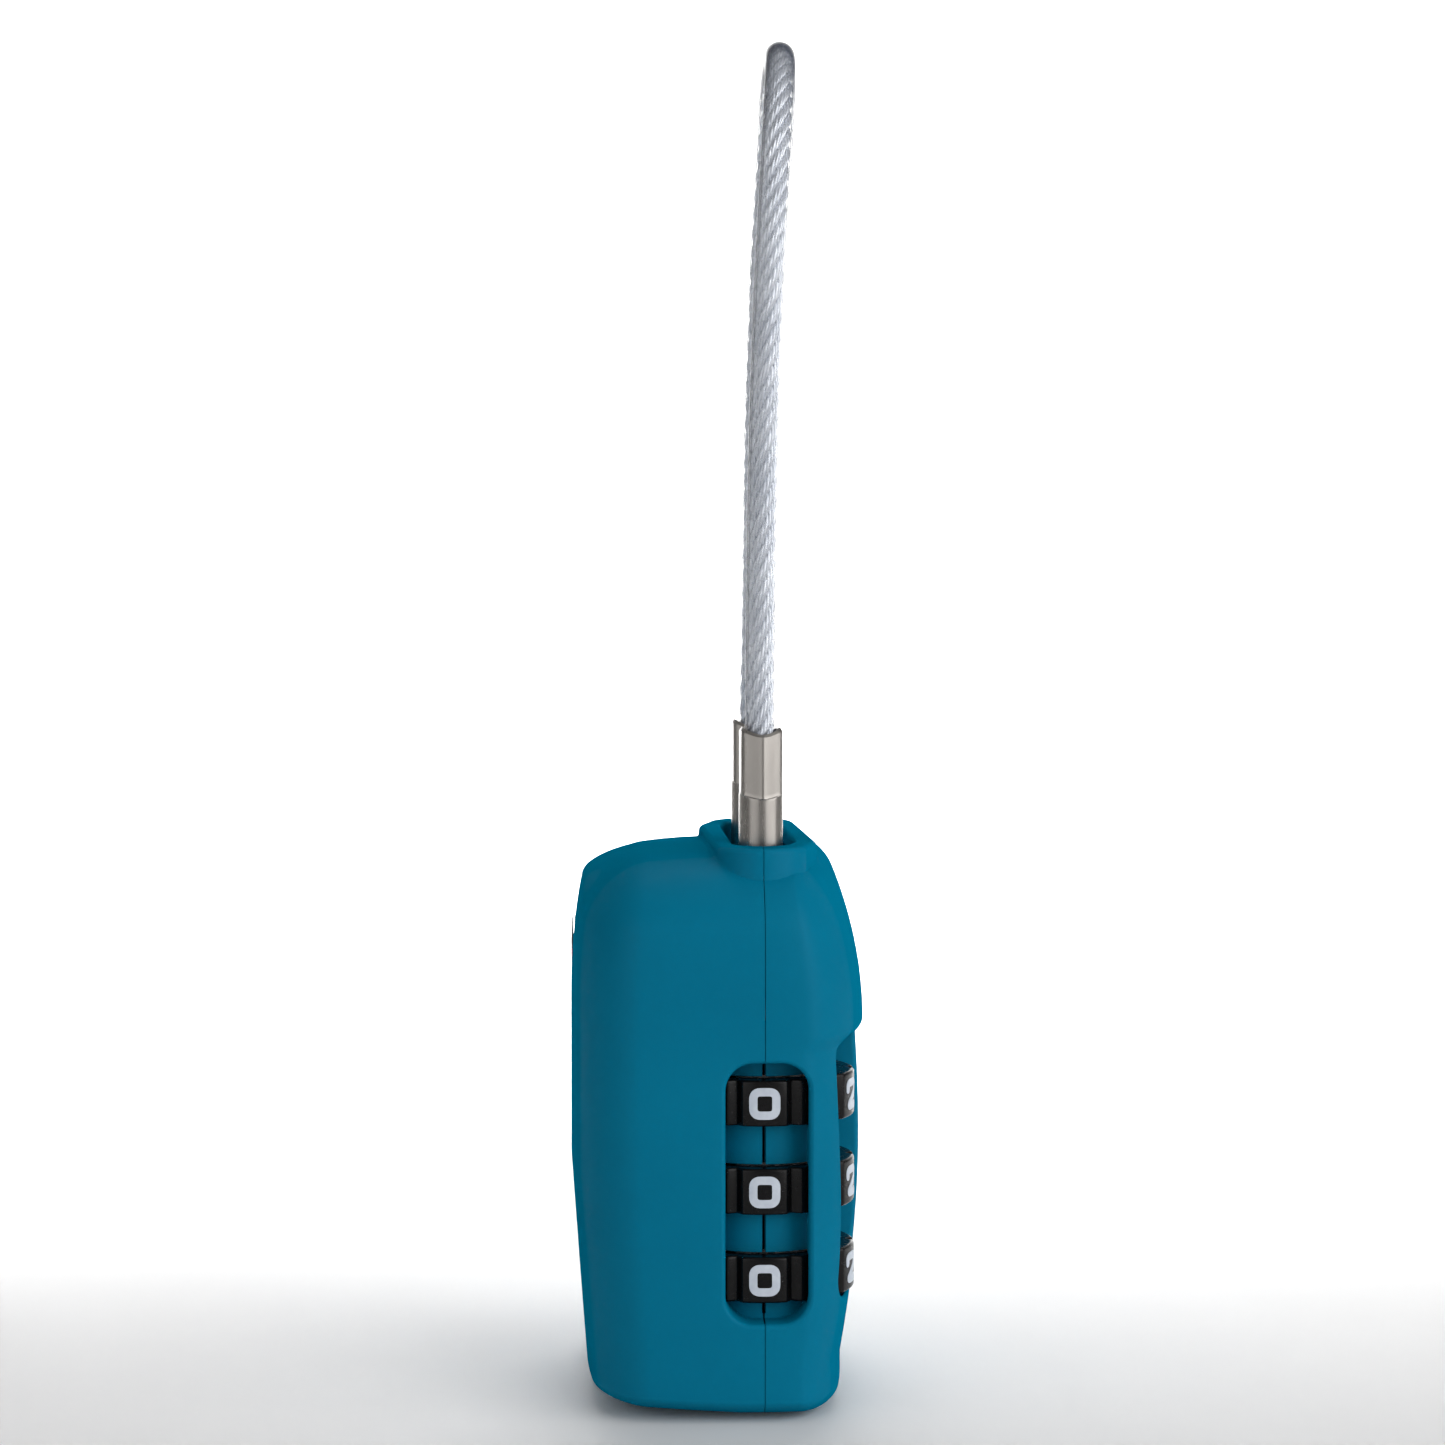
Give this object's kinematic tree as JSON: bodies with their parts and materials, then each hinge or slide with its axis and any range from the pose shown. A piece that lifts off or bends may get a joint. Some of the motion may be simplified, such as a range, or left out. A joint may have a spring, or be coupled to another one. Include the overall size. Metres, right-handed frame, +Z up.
{
  "type": "luggage combination padlock",
  "caption": "Small padlock for luggage with numbered dials, a key cylinder and a loop of sleeved steel cable that pulls out of the body at one end.",
  "frame": {"origin": "centre of the body's footprint, at the flat underside that the lock stands on", "axes": "+X out of the front, where the second dial window is; Y across the width, with the dials near the -Y side; +Z up, towards the cable loop"},
  "size_m": [0.0212, 0.03, 0.0966],
  "materials": {
    "shell": "moulded satin teal plastic",
    "dial": "polished black plastic with pale moulded numbers",
    "zinc": "raw zinc die casting",
    "nickel": "satin nickel plating",
    "steel": "spring and stamped steel",
    "brass": "machined brass",
    "rope": "galvanised stranded wire",
    "sleeve": "clear soft vinyl",
    "badge": "printed label",
    "lens": "clear domed resin"
  },
  "bodies": {
    "case": {"rear_shell": "shell", "front_shell": "shell", "top_block": "zinc", "assembly_pin_1": "steel", "assembly_pin_2": "steel", "assembly_pin_3": "steel", "assembly_pin_4": "steel", "detent_spring": "steel", "spindle_spring": "steel", "reset_spring": "steel", "latch_spring": "steel", "eject_spring": "steel", "fixed_ferrule": "nickel", "anchor_pin": "steel", "wire_rope": "rope", "cable_sleeve": "sleeve", "lock_barrel": "zinc", "badge_disc": "badge", "badge_dome": "lens"},
    "dial_1": {"dial_1": "dial", "clutch_ring_1": "zinc"},
    "dial_2": {"dial_2": "dial", "clutch_ring_2": "zinc"},
    "dial_3": {"dial_3": "dial", "clutch_ring_3": "zinc"},
    "spindle": {"spindle": "zinc"},
    "latch": {"latch_plate": "steel"},
    "reset_plunger": {"reset_plunger": "steel"},
    "free_end": {"free_ferrule": "nickel"},
    "key_plug": {"key_plug": "brass", "wafer_1": "brass", "wafer_2": "brass", "wafer_3": "brass", "wafer_4": "brass", "wafer_5": "brass", "plug_cam": "steel", "cam_clip": "steel"}
  },
  "joints": [
    {"name": "dial_1_turn", "type": "hinge", "parent": "case", "child": "dial_1", "pos_m": [0.00296, -0.0075, 0.022], "axis": [0, 0, 1], "continuous": true},
    {"name": "dial_2_turn", "type": "hinge", "parent": "case", "child": "dial_2", "pos_m": [0.00296, -0.0075, 0.01588], "axis": [0, 0, 1], "continuous": true},
    {"name": "dial_3_turn", "type": "hinge", "parent": "case", "child": "dial_3", "pos_m": [0.00296, -0.0075, 0.00977], "axis": [0, 0, 1], "continuous": true},
    {"name": "free_end_pull", "type": "slide", "parent": "case", "child": "free_end", "axis": [0, 0, 1], "range_m": [0, 0.01], "deforming": ["wire_rope", "cable_sleeve", "eject_spring"]},
    {"name": "latch_slide", "type": "slide", "parent": "case", "child": "latch", "axis": [0, 1, 0], "range_m": [0, 0.00075], "deforming": ["latch_spring"]},
    {"name": "spindle_lift", "type": "slide", "parent": "case", "child": "spindle", "axis": [0, 0, 1], "range_m": [0, 0.0015], "deforming": ["spindle_spring"]},
    {"name": "reset_press", "type": "slide", "parent": "case", "child": "reset_plunger", "axis": [0, 0, 1], "range_m": [0, 0.0008], "stiffness_N_per_m": 250, "deforming": ["reset_spring"]},
    {"name": "key_turn", "type": "hinge", "parent": "case", "child": "key_plug", "pos_m": [0.00296, 0.0072, 0.00935], "axis": [0, 0, -1], "range_deg": [0, 90]}
  ],
  "couplings": [
    {"joint": "spindle_lift", "follows": "latch_slide", "ratio": 2}
  ]
}
